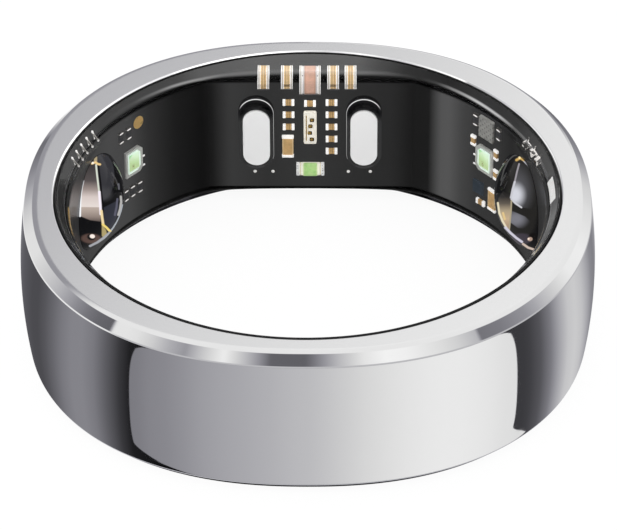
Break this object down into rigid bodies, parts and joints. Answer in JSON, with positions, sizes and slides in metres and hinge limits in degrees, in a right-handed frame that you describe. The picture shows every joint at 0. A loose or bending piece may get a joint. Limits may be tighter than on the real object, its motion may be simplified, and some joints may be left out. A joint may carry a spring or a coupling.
{
  "type": "smart ring",
  "caption": "Squared metal smart ring with a clear-lined bore showing its curved circuit board, sensor domes and charging pads.",
  "frame": {"origin": "centre of the lower rim's plane, on the axis of the finger hole", "axes": "+Z along the finger from the lower rim to the upper rim; +Y from the axis toward the flat of the liner with the two charging pads; +X toward the lens dome on the side of the metal-can chip"},
  "size_m": [0.025, 0.025, 0.0071],
  "materials": {
    "outer_shell": "polished titanium, satin rims",
    "core_ring": "black potting resin",
    "inner_liner": "clear smoked resin, polished",
    "circuit_board": "black solder mask",
    "battery_cell": "foil pouch",
    "battery_tabs": "bare metal",
    "processor_chip": "moulded black",
    "power_chip": "moulded black",
    "contact_pad_left": "matte plated",
    "contact_pad_right": "matte plated",
    "pad_bezel_left": "glossy black",
    "pad_bezel_right": "glossy black",
    "lens_dome_left": "clear optical resin",
    "lens_dome_right": "clear optical resin",
    "light_sensor_left": "silicon die",
    "light_sensor_right": "silicon die",
    "bond_wires_left": "gold",
    "bond_wires_right": "gold",
    "emitter_body_left": "moulded package",
    "emitter_body_right": "moulded package",
    "emitter_window_left": "translucent green",
    "emitter_window_right": "translucent green",
    "emitter_leads": "tinned",
    "lamp_body": "white ceramic-filled",
    "lamp_window": "green",
    "lamp_ends": "tinned",
    "contact_strip": "white",
    "strip_contacts": "gold",
    "small_capacitors": "ceramic",
    "small_capacitor_ends": "tinned",
    "bulk_capacitors": "ceramic",
    "bulk_capacitor_ends": "tinned",
    "rim_capacitors": "ceramic",
    "rim_capacitor_ends": "tinned",
    "rim_coil": "ceramic",
    "rim_coil_ends": "tinned",
    "resistors": "coated ceramic",
    "resistor_ends": "tinned",
    "radio_chip": "drawn can",
    "motion_chip": "bare die",
    "test_pad": "gold",
    "antenna_trace": "gold",
    "connector_prongs": "plated",
    "shield_clip": "plated",
    "ground_foil": "foil",
    "solder_dots": "solder"
  },
  "bodies": {
    "root": {"outer_shell": "outer_shell", "core_ring": "core_ring", "inner_liner": "inner_liner", "circuit_board": "circuit_board", "battery_cell": "battery_cell", "battery_tabs": "battery_tabs", "processor_chip": "processor_chip", "power_chip": "power_chip", "contact_pad_left": "contact_pad_left", "contact_pad_right": "contact_pad_right", "pad_bezel_left": "pad_bezel_left", "pad_bezel_right": "pad_bezel_right", "lens_dome_left": "lens_dome_left", "lens_dome_right": "lens_dome_right", "light_sensor_left": "light_sensor_left", "light_sensor_right": "light_sensor_right", "bond_wires_left": "bond_wires_left", "bond_wires_right": "bond_wires_right", "emitter_body_left": "emitter_body_left", "emitter_body_right": "emitter_body_right", "emitter_window_left": "emitter_window_left", "emitter_window_right": "emitter_window_right", "emitter_leads": "emitter_leads", "lamp_body": "lamp_body", "lamp_window": "lamp_window", "lamp_ends": "lamp_ends", "contact_strip": "contact_strip", "strip_contacts": "strip_contacts", "small_capacitors": "small_capacitors", "small_capacitor_ends": "small_capacitor_ends", "bulk_capacitors": "bulk_capacitors", "bulk_capacitor_ends": "bulk_capacitor_ends", "rim_capacitors": "rim_capacitors", "rim_capacitor_ends": "rim_capacitor_ends", "rim_coil": "rim_coil", "rim_coil_ends": "rim_coil_ends", "resistors": "resistors", "resistor_ends": "resistor_ends", "radio_chip": "radio_chip", "motion_chip": "motion_chip", "test_pad": "test_pad", "antenna_trace": "antenna_trace", "connector_prongs": "connector_prongs", "shield_clip": "shield_clip", "ground_foil": "ground_foil", "solder_dots": "solder_dots"}
  },
  "joints": []
}
